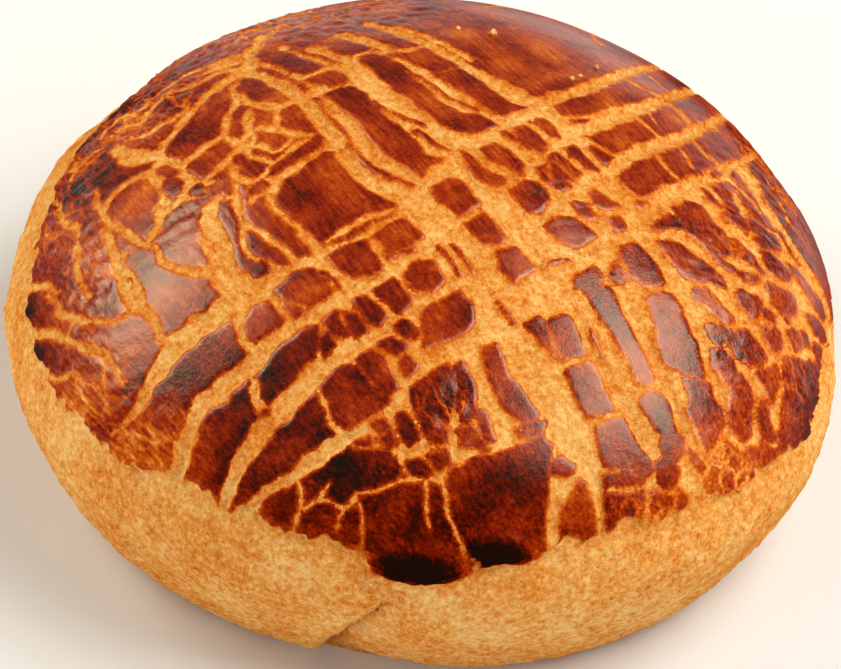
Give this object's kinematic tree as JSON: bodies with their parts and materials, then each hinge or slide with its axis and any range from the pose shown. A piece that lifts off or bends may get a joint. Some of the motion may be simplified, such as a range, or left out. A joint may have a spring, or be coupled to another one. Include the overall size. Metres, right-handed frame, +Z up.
{
  "type": "pogaca bun",
  "caption": "Round domed bread bun with a glossy cracked glaze, crossed fork strokes over the top and a bare matte side, resting on its flat underside.",
  "frame": {"origin": "middle of the bun's box at the level of its flat underside", "axes": "+Z up through the dome, -Y towards the side with the fold and the burnt edge of the glaze, +X to the right seen from there"},
  "size_m": [0.0944, 0.0954, 0.0434],
  "materials": {
    "crust": "baked crust: glossy red-brown glaze over the top, matte golden side"
  },
  "bodies": {
    "root": {"bun": "crust"}
  },
  "joints": []
}
